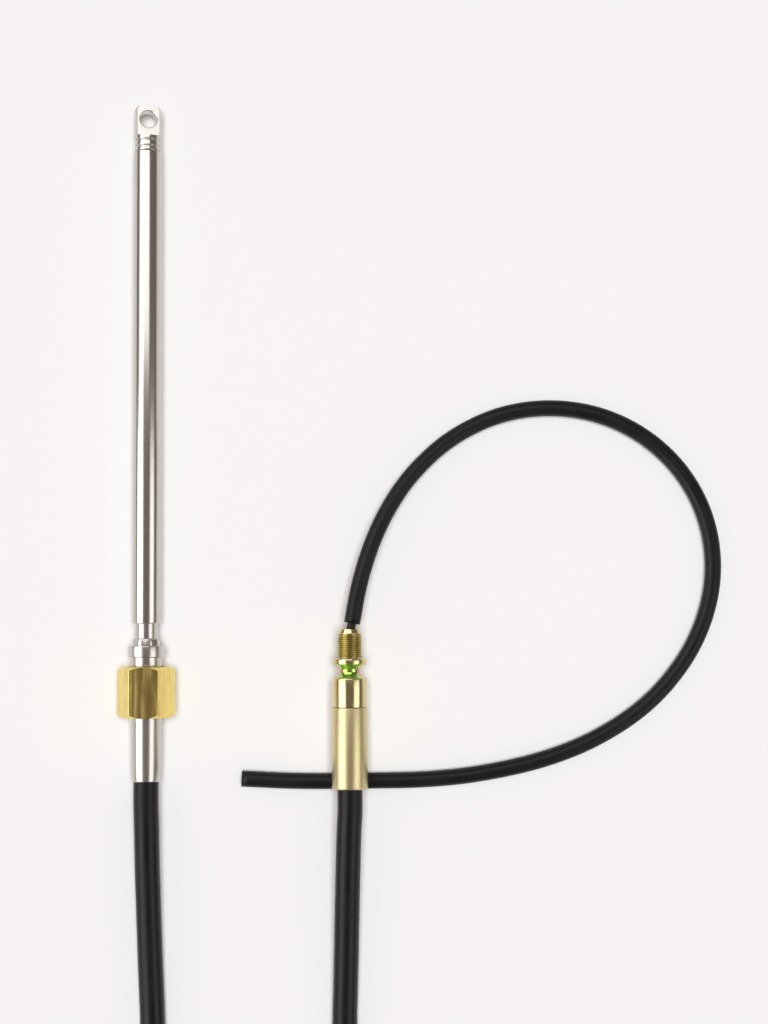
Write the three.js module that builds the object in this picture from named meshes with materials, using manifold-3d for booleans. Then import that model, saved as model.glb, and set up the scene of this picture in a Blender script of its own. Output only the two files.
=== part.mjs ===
// A rotary steering cable for a small boat, laid out on a level floor.
// The ram end lies on the left and pushes along +Y, the helm end lies on the right, and the jacket
// between them is wound into a coil behind both. Millimetres, +Z up, the floor at z = 0, and the origin
// on the floor under the middle of the metal fittings.
import * as THREE from "three";
import { mergeVertices } from "three/addons/utils/BufferGeometryUtils.js";
import Module from "manifold-3d";

const wasm = await Module();
wasm.setup();

// Clearances.
const SEAT_GAP = 0.3;
const FLOOR_GAP = 0.1;
const CUT_SPARE = 4;

// Ram: the tube that slides over the guide tube, and the eye in its outer end.
const RAM_OD = 15.9;
const RAM_LENGTH = 269.2;
const RAM_TRAVEL_SPARE = 8.3;
const RAM_EDGE = 0.8;
const EYE_OD = 15;
const EYE_THICKNESS = 8.6;
const EYE_FLAT_LENGTH = 17.8;
const EYE_TIP_ROUND = 3;
const EYE_TURN_DEG = 12;
const EYE_SHANK_LENGTH = 16;
const PIN_HOLE_DIAMETER = 9.8;
const PIN_HOLE_FROM_TIP = 8.3;
const NECK_LENGTH = 8.8;
const NECK_GROOVE_DEPTH = 0.7;
const NECK_GROOVE_WIDTH = 1.1;
const NECK_GROOVES = [2, 5.6];

// Guide tube and the core that runs in it.
const GUIDE_OD = 12.7;
const GUIDE_WALL = 2.1;
const GUIDE_SEAT_DEPTH = 12;
const GUIDE_CORE_SPARE = 12;
const CORE_DIAMETER = 5;

// Ram end ferrule, with its flange, and the staked collar in front of it.
const FERRULE_REAR_OD = 16;
const FERRULE_MIDDLE_OD = 17.3;
const FERRULE_BODY_OD = 18;
const FERRULE_MIDDLE_LENGTH = 36;
const FERRULE_BODY_LENGTH = 69.7;
const FERRULE_BODY_TAPER = 6;
const FERRULE_REAR_EDGE = 1;
const FLANGE_OD = 20.2;
const FLANGE_LENGTH = 6.6;
const FLANGE_EDGE = 0.5;
const COLLAR_OD = 15.6;
const COLLAR_LENGTH = 4;
const COLLAR_FACETS = 8;

// Coupling nut, a hexagon over a 7/8-14 thread.
const NUT_ACROSS_FLATS = 28.575;
const NUT_LENGTH = 28.6;
const NUT_FROM_REAR = 35.7;
const NUT_THREAD_BORE = 20.67;
const NUT_SHOULDER_BORE = 19.3;
const NUT_SHOULDER_LENGTH = 4;
const NUT_MOUTH_CHAMFER = 1;
const NUT_CORNER_CHAMFER = 2.2;
const NUT_CHAMFER_DEG = 43;

// Helm end: ferrule, then body, waisted neck, flange and threaded nose in one piece.
const HELM_FERRULE_REAR_OD = 20.3;
const HELM_FERRULE_FRONT_OD = 19.9;
const HELM_FERRULE_LENGTH = 45.7;
const HELM_FERRULE_EDGE = 0.7;
const HELM_BODY_OD = 19.6;
const HELM_BODY_LENGTH = 16.5;
const HELM_BODY_EDGE = 0.9;
const HELM_NECK_OD = 11.8;
const HELM_NECK_LENGTH = 6.8;
const HELM_NECK_DEPTH = 1.7;
const HELM_FLANGE_OD = 19.3;
const HELM_FLANGE_LENGTH = 4.1;
const HELM_FLANGE_EDGE = 1.2;
const HELM_THREAD_OD = 14;
const HELM_THREAD_DEPTH = 0.7;
const HELM_THREAD_PITCH = 1.5;
const HELM_THREAD_TURNS = 9;
const HELM_NOSE_TIP_OD = 11.6;
const HELM_NOSE_TIP_LENGTH = 2.8;
const CORE_IN_NOSE = 10;

// Cords: the jacket, and the sleeve over the bare core.
const JACKET_OD = 14.2;
const SLEEVE_OD = 9.2;
const SLEEVE_FROM_NOSE = 3.1;

// Layout on the floor.
const AXIS_SPACING = 114.9;
const HELM_BEHIND_RAM_END = 4.1;

// The coil: mean diameter, centre, and two turns side by side in each of two layers.
const COIL_DIAMETER = 12 * JACKET_OD;
const COIL_X = 4.8;
const COIL_Y = -546;
const TURN_GAP = 0.2;
const TURN_PITCH = JACKET_OD + TURN_GAP;
const COIL_CORNER = 3;

// Route of the jacket behind the ram end, after its straight start, down to the coil.
const RAM_RUN = [
  [-54, -215.2, 13.8],
  [-53.7, -237.7, 12.1],
  [-53.2, -260.3, 9.9],
  [-52.6, -282.9, 8.2],
  [-51.8, -305.3, 7.4],
  [-51, -326, 7.2],
  [-51, -350, 7.2],
  [-53, -375, 7.2],
  [-57.3, -402, 7.2],
  [-64.2, -430, 7.2],
  [-72.6, -460, 7.2],
  [-78.1, -480.3, 7.2],
];

// Route of the jacket behind the helm end, after its straight start, down to the coil.
const HELM_RUN = [
  [60, -218.3, 19.1],
  [59.3, -240.8, 16.6],
  [58.7, -263.5, 13.4],
  [58.2, -286.3, 10.2],
  [57.6, -308.9, 8.1],
  [57.2, -326.3, 7.4],
  [57.6, -350, 7.2],
  [60.4, -375, 7.2],
  [66, -402, 8.2],
  [74.2, -430, 11.2],
  [82.3, -460, 16],
  [87.9, -480.3, 19],
];

// Route of the sleeve: off the helm nose, round its loop, under the helm ferrule, to its open end.
const SLEEVE_ROUTE = [
  [62, -101.7, 19.8],
  [65.5, -83, 19.3],
  [69.9, -66.7, 17.8],
  [75.6, -51.3, 15.5],
  [82.8, -36.7, 12.8],
  [91.7, -22.9, 10],
  [102.6, -10.3, 7.6],
  [115.4, 1, 5.8],
  [130.1, 10.1, 4.8],
  [146.4, 16.8, 4.7],
  [164.1, 20.4, 4.7],
  [182.5, 20.7, 4.7],
  [200.8, 17.6, 4.7],
  [218.5, 10.8, 4.7],
  [234.5, 0.5, 4.7],
  [248.1, -12.9, 4.7],
  [258.5, -28.8, 4.7],
  [265.2, -46.6, 4.7],
  [267.9, -65.2, 4.7],
  [266.8, -83.6, 4.7],
  [262.2, -101, 4.7],
  [254.9, -116.9, 4.7],
  [245.4, -131, 4.7],
  [234.4, -143.4, 4.7],
  [222, -153.9, 4.7],
  [208.6, -162.7, 4.7],
  [194.3, -170.2, 4.7],
  [179.1, -176.3, 4.7],
  [162.6, -181.3, 4.7],
  [144.5, -185.3, 4.7],
  [124.2, -188.5, 4.7],
  [100.4, -190.4, 4.7],
  [72.3, -190.9, 4.7],
  [32, -191, 4.7],
  [-0.9, -189.6, 4.7],
];

// Sizes that follow from the ones above.
const RAM_BORE = GUIDE_OD + 2 * SEAT_GAP;
const GUIDE_BORE = GUIDE_OD - 2 * GUIDE_WALL;
const FERRULE_CORE_BORE = CORE_DIAMETER + 2 * SEAT_GAP;
const FERRULE_LENGTH = FERRULE_BODY_LENGTH + FLANGE_LENGTH;
const RAM_START = FERRULE_LENGTH + COLLAR_LENGTH + RAM_TRAVEL_SPARE;
const RAM_END = RAM_START + RAM_LENGTH;
const RAM_TIP = RAM_END + NECK_LENGTH + EYE_FLAT_LENGTH;
const SHANK_START = RAM_END - EYE_SHANK_LENGTH;
const NUT_CORNER_RADIUS = NUT_ACROSS_FLATS / Math.sqrt(3);
const NECK_START = HELM_FERRULE_LENGTH + HELM_BODY_LENGTH;
const HELM_FLANGE_START = NECK_START + HELM_NECK_LENGTH;
const THREAD_START = HELM_FLANGE_START + HELM_FLANGE_LENGTH;
const NOSE_END = THREAD_START + HELM_THREAD_TURNS * HELM_THREAD_PITCH + HELM_NOSE_TIP_LENGTH;
const RAM_AXIS_X = (NUT_CORNER_RADIUS - HELM_FERRULE_REAR_OD / 2 - AXIS_SPACING) / 2;
const HELM_AXIS_X = RAM_AXIS_X + AXIS_SPACING;
const RAM_AXIS_Z = NUT_ACROSS_FLATS / 2;
const HELM_AXIS_Z = FLOOR_GAP + SLEEVE_OD + SEAT_GAP + HELM_FERRULE_REAR_OD / 2;
const HELM_REAR_Y = -(RAM_TIP + HELM_BEHIND_RAM_END) / 2;
const RAM_REAR_Y = HELM_REAR_Y + HELM_BEHIND_RAM_END;

// Facets round the fittings, a multiple of four so that the widest points lie on X and Z.
const ROUND = 48;

function paint(name, color, roughness, metalness) {
  return new THREE.MeshStandardMaterial({ name, color, roughness, metalness });
}

const stainless = paint("stainless steel", 0xc9c5bd, 0.28, 1);
const brass = paint("drawn brass", 0xc9a646, 0.34, 1);
const yellowZinc = paint("yellow zinc plate", 0xd9c98a, 0.3, 1);
const coreSteel = paint("dark greased steel", 0x2b2724, 0.55, 0.6);
const blackJacket = paint("black jacket plastic", 0x1d1d1e, 0.5, 0);
const blackSleeve = paint("black sleeve plastic", 0x171718, 0.42, 0);

// A closed profile of [radius, place along the axis] turned about Y.
function turned(profile, segments = ROUND) {
  const points = profile.map(([radius, y]) => new THREE.Vector2(radius, y));
  points.push(points[0].clone());
  return new THREE.LatheGeometry(points, segments);
}

// A solid bar profile that starts and ends on the axis.
function turnedBar(profile, segments = ROUND) {
  return new THREE.LatheGeometry(profile.map(([radius, y]) => new THREE.Vector2(radius, y)), segments);
}

function toSolid(geometry) {
  const bare = geometry.clone();
  bare.deleteAttribute("normal");
  bare.deleteAttribute("uv");
  const merged = mergeVertices(bare, 1e-4);
  const mesh = new wasm.Mesh({
    numProp: 3,
    vertProperties: new Float32Array(merged.attributes.position.array),
    triVerts: new Uint32Array(merged.index.array),
  });
  mesh.merge();
  return new wasm.Manifold(mesh);
}

function toGeometry(solid) {
  const mesh = solid.getMesh();
  const geometry = new THREE.BufferGeometry();
  geometry.setAttribute("position", new THREE.BufferAttribute(new Float32Array(mesh.vertProperties), 3));
  geometry.setIndex(new THREE.BufferAttribute(new Uint32Array(mesh.triVerts), 1));
  geometry.computeVertexNormals();
  return geometry;
}

function named(name, geometry, material) {
  const mesh = new THREE.Mesh(geometry, material);
  mesh.name = name;
  return mesh;
}

// Quarter-round corner points from (radius - round, start) out to (radius, start + round), or back.
function roundCorner(radius, y, round, rising) {
  const steps = 3;
  const points = [];
  for (let i = 0; i <= steps; i += 1) {
    const angle = (Math.PI / 2) * (i / steps);
    const out = rising ? Math.sin(angle) : Math.cos(angle);
    const along = rising ? 1 - Math.cos(angle) : -1 + Math.sin(angle);
    points.push([radius - round * (1 - out), y + round * along]);
  }
  return points;
}

// The bar that the eye is milled from: shank in the ram tube, grooved neck, rounded tip.
function eyeBarProfile() {
  const radius = EYE_OD / 2;
  const shank = RAM_BORE / 2 - SEAT_GAP;
  const shoulder = RAM_END + SEAT_GAP;
  const profile = [[0, SHANK_START], [shank, SHANK_START], [shank, shoulder], [radius, shoulder]];
  for (const groove of NECK_GROOVES) {
    const y = RAM_END + groove;
    const floor = radius - NECK_GROOVE_DEPTH;
    profile.push([radius, y], [floor, y + NECK_GROOVE_WIDTH / 4]);
    profile.push([floor, y + (NECK_GROOVE_WIDTH * 3) / 4], [radius, y + NECK_GROOVE_WIDTH]);
  }
  profile.push(...roundCorner(radius, RAM_TIP, EYE_TIP_ROUND, false));
  profile.push([0, RAM_TIP]);
  return profile;
}

function ramEye() {
  const bar = toSolid(turnedBar(eyeBarProfile()));
  const side = EYE_OD;
  const length = EYE_FLAT_LENGTH + CUT_SPARE;
  const waste = new THREE.BoxGeometry(EYE_OD + CUT_SPARE, length, side);
  const lift = EYE_THICKNESS / 2 + side / 2;
  const middle = RAM_TIP - EYE_FLAT_LENGTH + length / 2;
  const over = toSolid(waste.clone().translate(0, middle, lift));
  const under = toSolid(waste.clone().translate(0, middle, -lift));
  const holeRadius = PIN_HOLE_DIAMETER / 2;
  const hole = new THREE.CylinderGeometry(holeRadius, holeRadius, EYE_OD + CUT_SPARE, ROUND);
  hole.rotateX(Math.PI / 2).translate(0, RAM_TIP - PIN_HOLE_FROM_TIP, 0);
  const milled = bar.subtract(over).subtract(under).subtract(toSolid(hole));
  const eye = named("ram_eye", toGeometry(milled), stainless);
  eye.rotation.y = THREE.MathUtils.degToRad(EYE_TURN_DEG);
  return eye;
}

function ramTube() {
  const outer = RAM_OD / 2;
  const bore = RAM_BORE / 2;
  const profile = [
    [bore, RAM_START],
    [outer - RAM_EDGE, RAM_START],
    [outer, RAM_START + RAM_EDGE],
    [outer, RAM_END - RAM_EDGE / 2],
    [outer - RAM_EDGE / 2, RAM_END],
    [bore, RAM_END],
  ];
  return named("ram_tube", turned(profile), stainless);
}

// A straight stretch of the core, from one place on its axis to another.
function coreRod(name, start, end) {
  const radius = CORE_DIAMETER / 2;
  const segments = 16;
  return named(name, turnedBar([[0, start], [radius, start], [radius, end], [0, end]], segments), coreSteel);
}

// The core is fixed in the eye's shank and slides inside the guide tube.
function coreInRam() {
  return coreRod("inner_core_in_ram", SEAT_GAP, SHANK_START - SEAT_GAP);
}

function guideTube() {
  const outer = GUIDE_OD / 2;
  const bore = GUIDE_BORE / 2;
  const start = FERRULE_LENGTH - GUIDE_SEAT_DEPTH + SEAT_GAP;
  const end = SHANK_START - GUIDE_CORE_SPARE;
  return named("guide_tube", turned([[bore, start], [outer, start], [outer, end], [bore, end]]), stainless);
}

function stakedCollar() {
  const start = FERRULE_LENGTH + SEAT_GAP;
  const end = FERRULE_LENGTH + COLLAR_LENGTH;
  const outer = COLLAR_OD / 2;
  const edge = FLANGE_EDGE;
  const blank = [[0, start], [outer, start], [outer, end - edge], [outer - edge, end], [0, end]];
  const ring = toSolid(turnedBar(blank, COLLAR_FACETS));
  const bore = new THREE.CylinderGeometry(1, 1, COLLAR_LENGTH + 2 * CUT_SPARE, ROUND);
  const boreRadius = GUIDE_OD / 2 + SEAT_GAP;
  bore.scale(boreRadius, 1, boreRadius).translate(0, (start + end) / 2, 0);
  return named("staked_collar", toGeometry(ring.subtract(toSolid(bore))), stainless);
}

function ramEndFerrule() {
  const coreBore = FERRULE_CORE_BORE / 2;
  const seatBore = GUIDE_OD / 2 + SEAT_GAP;
  const seat = FERRULE_LENGTH - GUIDE_SEAT_DEPTH;
  const body = FERRULE_BODY_OD / 2;
  const flange = FLANGE_OD / 2;
  const profile = [
    [coreBore, 0],
    [FERRULE_REAR_OD / 2 - FERRULE_REAR_EDGE, 0],
    [FERRULE_REAR_OD / 2, FERRULE_REAR_EDGE],
    [FERRULE_MIDDLE_OD / 2, FERRULE_MIDDLE_LENGTH],
    [body, FERRULE_MIDDLE_LENGTH + FERRULE_BODY_TAPER],
    [body, FERRULE_BODY_LENGTH],
    [flange - FLANGE_EDGE, FERRULE_BODY_LENGTH],
    [flange, FERRULE_BODY_LENGTH + FLANGE_EDGE],
    [flange, FERRULE_LENGTH - FLANGE_EDGE],
    [flange - FLANGE_EDGE, FERRULE_LENGTH],
    [seatBore, FERRULE_LENGTH],
    [seatBore, seat],
    [coreBore, seat],
  ];
  return named("ram_end_ferrule", turned(profile), stainless);
}

// The hexagon is cut by a cone at each end, which rounds off its corners.
function couplingNut() {
  const start = NUT_FROM_REAR;
  const end = start + NUT_LENGTH;
  const hexagon = new THREE.CylinderGeometry(NUT_CORNER_RADIUS, NUT_CORNER_RADIUS, NUT_LENGTH, 6);
  hexagon.rotateY(Math.PI / 6).translate(0, (start + end) / 2, 0);
  const faceRadius = NUT_CORNER_RADIUS - NUT_CORNER_CHAMFER;
  const rim = NUT_CORNER_RADIUS + SEAT_GAP;
  const drop = (rim - faceRadius) * Math.tan(THREE.MathUtils.degToRad(NUT_CHAMFER_DEG));
  const cones = [
    [0, start],
    [faceRadius, start],
    [rim, start + drop],
    [rim, end - drop],
    [faceRadius, end],
    [0, end],
  ];
  const shoulder = NUT_SHOULDER_BORE / 2;
  const thread = NUT_THREAD_BORE / 2;
  const shoulderEnd = start + NUT_SHOULDER_LENGTH;
  const bore = [
    [0, start - CUT_SPARE],
    [shoulder, start - CUT_SPARE],
    [shoulder, shoulderEnd],
    [thread, shoulderEnd],
    [thread, end - NUT_MOUTH_CHAMFER],
    [thread + NUT_MOUTH_CHAMFER, end],
    [thread + NUT_MOUTH_CHAMFER, end + CUT_SPARE],
    [0, end + CUT_SPARE],
  ];
  const solid = toSolid(hexagon).intersect(toSolid(turnedBar(cones))).subtract(toSolid(turnedBar(bore)));
  return named("coupling_nut", toGeometry(solid), brass);
}

function helmFerrule() {
  const bore = FERRULE_CORE_BORE / 2;
  const rear = HELM_FERRULE_REAR_OD / 2;
  const front = HELM_FERRULE_FRONT_OD / 2;
  const end = HELM_FERRULE_LENGTH - SEAT_GAP;
  const profile = [
    [bore, 0],
    [rear - HELM_FERRULE_EDGE, 0],
    [rear, HELM_FERRULE_EDGE],
    [front, end - HELM_FERRULE_EDGE / 2],
    [front - HELM_FERRULE_EDGE / 2, end],
    [bore, end],
  ];
  return named("helm_ferrule", turned(profile), yellowZinc);
}

// Waist between the body and the flange: a round hollow that is deepest at its middle.
function neckProfile() {
  const points = [];
  const steps = 6;
  const outer = HELM_NECK_OD / 2 + HELM_NECK_DEPTH;
  for (let i = 0; i <= steps; i += 1) {
    const share = i / steps;
    points.push([outer - HELM_NECK_DEPTH * Math.sin(Math.PI * share), NECK_START + HELM_NECK_LENGTH * share]);
  }
  return points;
}

// Thread as one ring for each turn of its pitch.
function threadProfile() {
  const crest = HELM_THREAD_OD / 2;
  const root = crest - HELM_THREAD_DEPTH;
  const points = [[crest, THREAD_START]];
  for (let i = 0; i < HELM_THREAD_TURNS; i += 1) {
    const y = THREAD_START + i * HELM_THREAD_PITCH;
    points.push([root, y + HELM_THREAD_PITCH / 2], [crest, y + HELM_THREAD_PITCH]);
  }
  return points;
}

function helmFitting() {
  const bore = FERRULE_CORE_BORE / 2;
  const body = HELM_BODY_OD / 2;
  const profile = [
    [bore, HELM_FERRULE_LENGTH],
    [body, HELM_FERRULE_LENGTH],
    [body, NECK_START - HELM_BODY_EDGE],
    [body - HELM_BODY_EDGE, NECK_START],
    ...neckProfile(),
    ...roundCorner(HELM_FLANGE_OD / 2, HELM_FLANGE_START, HELM_FLANGE_EDGE, true),
    ...roundCorner(HELM_FLANGE_OD / 2, THREAD_START, HELM_FLANGE_EDGE, false),
    ...threadProfile(),
    [HELM_NOSE_TIP_OD / 2, NOSE_END],
    [bore, NOSE_END],
  ];
  return named("helm_fitting", turned(profile, 32), yellowZinc);
}

// The short stretch of core that shows between the nose and the sleeve.
function coreAtHelm() {
  return coreRod("inner_core_at_helm", NOSE_END - CORE_IN_NOSE, NOSE_END + SLEEVE_FROM_NOSE - SEAT_GAP);
}

// A plain tube of ten sides along a route.
function cordRun(name, points, diameter, steps, material) {
  const route = points.map(([x, y, z]) => new THREE.Vector3(x, y, z));
  const curve = new THREE.CatmullRomCurve3(route, false, "centripetal");
  const section = new THREE.Shape();
  const sides = 10;
  for (let i = 0; i < sides; i += 1) {
    const angle = (2 * Math.PI * i) / sides;
    const x = (diameter / 2) * Math.cos(angle);
    const y = (diameter / 2) * Math.sin(angle);
    if (i === 0) section.moveTo(x, y);
    else section.lineTo(x, y);
  }
  section.closePath();
  const geometry = new THREE.ExtrudeGeometry(section, { steps, bevelEnabled: false, extrudePath: curve });
  return named(name, geometry, material);
}

// A route that leaves a ferrule straight backwards for one diameter and a little.
function fromFerrule(x, rearY, z, route) {
  return [[x, rearY - SEAT_GAP, z], [x, rearY - JACKET_OD * 0.85, z], ...route];
}

function jacketRunRamEnd() {
  const route = fromFerrule(RAM_AXIS_X, RAM_REAR_Y, RAM_AXIS_Z, RAM_RUN);
  return cordRun("jacket_run_ram_end", route, JACKET_OD, 12, blackJacket);
}

function jacketRunHelmEnd() {
  const route = fromFerrule(HELM_AXIS_X, HELM_REAR_Y, HELM_AXIS_Z, HELM_RUN);
  return cordRun("jacket_run_helm_end", route, JACKET_OD, 12, blackJacket);
}

function coreSleeve() {
  return cordRun("core_sleeve", SLEEVE_ROUTE, SLEEVE_OD, 34, blackSleeve);
}

// The outer shape of the coil, two turns wide and two turns high.
function jacketCoil() {
  const inner = COIL_DIAMETER / 2 - TURN_PITCH / 2 - JACKET_OD / 2;
  const outer = COIL_DIAMETER / 2 + TURN_PITCH / 2 + JACKET_OD / 2;
  const low = FLOOR_GAP;
  const high = FLOOR_GAP + JACKET_OD + TURN_PITCH;
  const corner = COIL_CORNER;
  const profile = [
    [inner + corner, low],
    [outer - corner, low],
    [outer, low + corner],
    [outer, high - corner],
    [outer - corner, high],
    [inner + corner, high],
    [inner, high - corner],
    [inner, low + corner],
  ];
  const ring = turned(profile).rotateX(Math.PI / 2);
  const coil = named("jacket_coil", ring, blackJacket);
  coil.position.set(COIL_X, COIL_Y, 0);
  return coil;
}

const ramEnd = new THREE.Group();
ramEnd.position.set(RAM_AXIS_X, RAM_REAR_Y, RAM_AXIS_Z);
ramEnd.add(ramEye(), ramTube(), coreInRam(), guideTube(), stakedCollar(), ramEndFerrule(), couplingNut());

const helmEnd = new THREE.Group();
helmEnd.position.set(HELM_AXIS_X, HELM_REAR_Y, HELM_AXIS_Z);
helmEnd.add(helmFerrule(), helmFitting(), coreAtHelm());

const steeringCable = new THREE.Group();
steeringCable.add(ramEnd, helmEnd, jacketRunRamEnd(), jacketCoil(), jacketRunHelmEnd(), coreSleeve());

export default steeringCable;
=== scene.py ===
"""The looks of a rotary steering cable for a small boat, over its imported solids.

Lengths are metres in the cable's own frame: the floor is z = 0 and the ram pushes along +Y.
"""

import math

import bmesh
import bpy
from mathutils import Matrix, Vector


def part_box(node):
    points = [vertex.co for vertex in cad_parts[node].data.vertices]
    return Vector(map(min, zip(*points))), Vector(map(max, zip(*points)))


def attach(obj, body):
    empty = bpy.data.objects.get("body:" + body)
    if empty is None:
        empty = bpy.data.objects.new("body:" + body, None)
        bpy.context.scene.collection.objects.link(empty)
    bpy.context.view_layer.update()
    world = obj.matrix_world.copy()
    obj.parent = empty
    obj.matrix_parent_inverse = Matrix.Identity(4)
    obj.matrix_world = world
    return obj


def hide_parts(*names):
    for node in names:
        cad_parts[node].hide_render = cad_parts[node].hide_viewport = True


bl_info = {
    "name": "Boat steering cable",
    "version": (1, 0, 0),
    "blender": (4, 5, 0),
    "location": "3D View > Sidebar > Steering Cable",
    "description": "Builds the visible pieces, floor, light and camera of a boat steering cable",
    "category": "Object",
}

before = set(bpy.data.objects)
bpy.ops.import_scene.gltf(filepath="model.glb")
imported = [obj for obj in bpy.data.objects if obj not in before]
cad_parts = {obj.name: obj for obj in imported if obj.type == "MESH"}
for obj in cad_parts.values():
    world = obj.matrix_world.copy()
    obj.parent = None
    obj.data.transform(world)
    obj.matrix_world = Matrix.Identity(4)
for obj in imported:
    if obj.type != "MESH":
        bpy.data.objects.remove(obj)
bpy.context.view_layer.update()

MM = 0.001

# How round the turned pieces are, the angle from which an edge shows, and the distances at which
# two corners count as one: after turning a profile, and after a cut.
ROUND = 96
SHARP_DEG = 32
SAME_CORNER = 1e-6
SLIVER = 2e-6

# Clear space round the jacket and round what goes through a bore, in millimetres.
JACKET_FIT = 0.05
BORE_FIT = 0.3

# The two axes, the places of the two ferrules' rear ends and the bodies, from the frame.
RAM_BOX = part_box("ram_tube")
NUT_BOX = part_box("coupling_nut")
EYE_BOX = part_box("ram_eye")
RAM_FERRULE_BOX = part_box("ram_end_ferrule")
HELM_FERRULE_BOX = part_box("helm_ferrule")
HELM_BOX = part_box("helm_fitting")


def axis_start(box, rear):
    """Where an axis starts: in the middle of a box across it, at the rear end of a ferrule."""
    low, high = box
    return Vector(((low.x + high.x) / 2, rear, (low.z + high.z) / 2))


RAM_AXIS = axis_start(RAM_BOX, RAM_FERRULE_BOX[0].y)
HELM_AXIS = axis_start(HELM_FERRULE_BOX, HELM_FERRULE_BOX[0].y)
FIXED = "cable"
RAM = "ram"
NUT = "nut"

# The jacket's route behind each ferrule, down to the coil, in metres.
RAM_RUN = [
    (-0.054, -0.2152, 0.0138),
    (-0.0537, -0.2377, 0.0121),
    (-0.0532, -0.2603, 0.0099),
    (-0.0526, -0.2829, 0.0082),
    (-0.0518, -0.3053, 0.0074),
    (-0.051, -0.326, 0.0072),
    (-0.051, -0.35, 0.0072),
    (-0.053, -0.375, 0.0072),
    (-0.0573, -0.402, 0.0072),
    (-0.0642, -0.43, 0.0072),
    (-0.0726, -0.46, 0.0072),
    (-0.0781, -0.4803, 0.0072),
]
HELM_RUN = [
    (0.06, -0.2183, 0.0191),
    (0.0593, -0.2408, 0.0166),
    (0.0587, -0.2635, 0.0134),
    (0.0582, -0.2863, 0.0102),
    (0.0576, -0.3089, 0.0081),
    (0.0572, -0.3263, 0.0074),
    (0.0576, -0.35, 0.0072),
    (0.0604, -0.375, 0.0072),
    (0.066, -0.402, 0.0082),
    (0.0742, -0.43, 0.0112),
    (0.0823, -0.46, 0.016),
    (0.0879, -0.4803, 0.019),
]
INTO_COIL = (-0.0857, -0.515, 0.0072)
OUT_OF_COIL = (0.0955, -0.515, 0.0205)

# How far the jacket leaves a ferrule straight, and the coil's mean radius, both in jacket diameters.
STRAIGHT_OUT = 0.85
COIL_RADIUS = 6

# The sleeve's route from the helm nose, round its loop and under the helm ferrule, in metres.
SLEEVE_ROUTE = [
    (0.062, -0.1017, 0.0198),
    (0.0655, -0.083, 0.0193),
    (0.0699, -0.0667, 0.0178),
    (0.0756, -0.0513, 0.0155),
    (0.0828, -0.0367, 0.0128),
    (0.0917, -0.0229, 0.01),
    (0.1026, -0.0103, 0.0076),
    (0.1154, 0.001, 0.0058),
    (0.1301, 0.0101, 0.0048),
    (0.1464, 0.0168, 0.0047),
    (0.1641, 0.0204, 0.0047),
    (0.1825, 0.0207, 0.0047),
    (0.2008, 0.0176, 0.0047),
    (0.2185, 0.0108, 0.0047),
    (0.2345, 0.0005, 0.0047),
    (0.2481, -0.0129, 0.0047),
    (0.2585, -0.0288, 0.0047),
    (0.2652, -0.0466, 0.0047),
    (0.2679, -0.0652, 0.0047),
    (0.2668, -0.0836, 0.0047),
    (0.2622, -0.101, 0.0047),
    (0.2549, -0.1169, 0.0047),
    (0.2454, -0.131, 0.0047),
    (0.2344, -0.1434, 0.0047),
    (0.222, -0.1539, 0.0047),
    (0.2086, -0.1627, 0.0047),
    (0.1943, -0.1702, 0.0047),
    (0.1791, -0.1763, 0.0047),
    (0.1626, -0.1813, 0.0047),
    (0.1445, -0.1853, 0.0047),
    (0.1242, -0.1885, 0.0047),
    (0.1004, -0.1904, 0.0047),
    (0.0723, -0.1909, 0.0047),
    (0.032, -0.191, 0.0047),
    (-0.0009, -0.1896, 0.0047),
]

# The coil: its middle on the floor, its turns, and where in each turn the cable moves to its next place.
COIL_X = 0.0048
COIL_Y = -0.546
COIL_TURNS = 3.5
COIL_POINTS = 48
SHIFT_OUT_AT = 2.5
SHIFT_UP_AT = 1.66
SHIFT_IN_AT = 0.82
SHIFT_LENGTH = 0.16

# The photograph's view: how high the camera looks from, how far it stands, and what it looks at.
VIEW_ELEVATION = math.radians(87)
VIEW_ROLL = 0.0035
VIEW_DISTANCE = 1.1
VIEW_TARGET = Vector((0.0802, -0.0387, 0.012))
METRES_PER_PIXEL = 0.000568
IMAGE_HEIGHT = 1024
SENSOR = 36.0

# Half of the floor's side: far enough for it to fill low views up to the horizon.
FLOOR_REACH = 14.0

# The lights: their turn about Y from overhead, in degrees, the place of their middle along Y, their
# distance, width and length in metres, and their radiance. The soft boxes only show in the metal, and
# the gaps between them give the fittings their dark stripes, in the world's dim warm colour. The fill
# only lights what is matt: it stands high and is narrow, so the shadow hides under the object.
FILL = "overhead fill"
WORLD_COLOUR = "#FFEBE1"
WORLD_STRENGTH = 0.2
SOFT_BOXES = (
    ("left soft box", -50.5, -0.8, 1.6, 1.46, 1.84, 2.45),
    ("far left soft box", -44, 0.88, 1.6, 1.04, 1.5, 1.9),
    ("right soft box", 49, -0.89, 1.6, 1.0, 1.92, 1.6),
    ("far soft box", -4, 0.95, 1.6, 1.45, 1.3, 1.7),
    (FILL, 3, -0.05, 4.0, 1.5, 1.5, 18.1),
)


def linear(colour):
    """An sRGB hex colour as linear red, green, blue and alpha."""
    parts = [int(colour[k : k + 2], 16) / 255 for k in (1, 3, 5)]
    return [c / 12.92 if c <= 0.04045 else ((c + 0.055) / 1.055) ** 2.4 for c in parts] + [1.0]


def length_prop(name, description, default):
    """A length in metres, shown in the scene's own unit."""
    return bpy.props.FloatProperty(
        name=name,
        description=description,
        default=default,
        min=0.0,
        precision=5,
        subtype="DISTANCE",
        unit="LENGTH",
    )


def colour_prop(name, description, default):
    """A colour, given as sRGB hex."""
    return bpy.props.FloatVectorProperty(
        name=name,
        description=description,
        default=linear(default),
        size=4,
        min=0.0,
        max=1.0,
        subtype="COLOR",
    )


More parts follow.
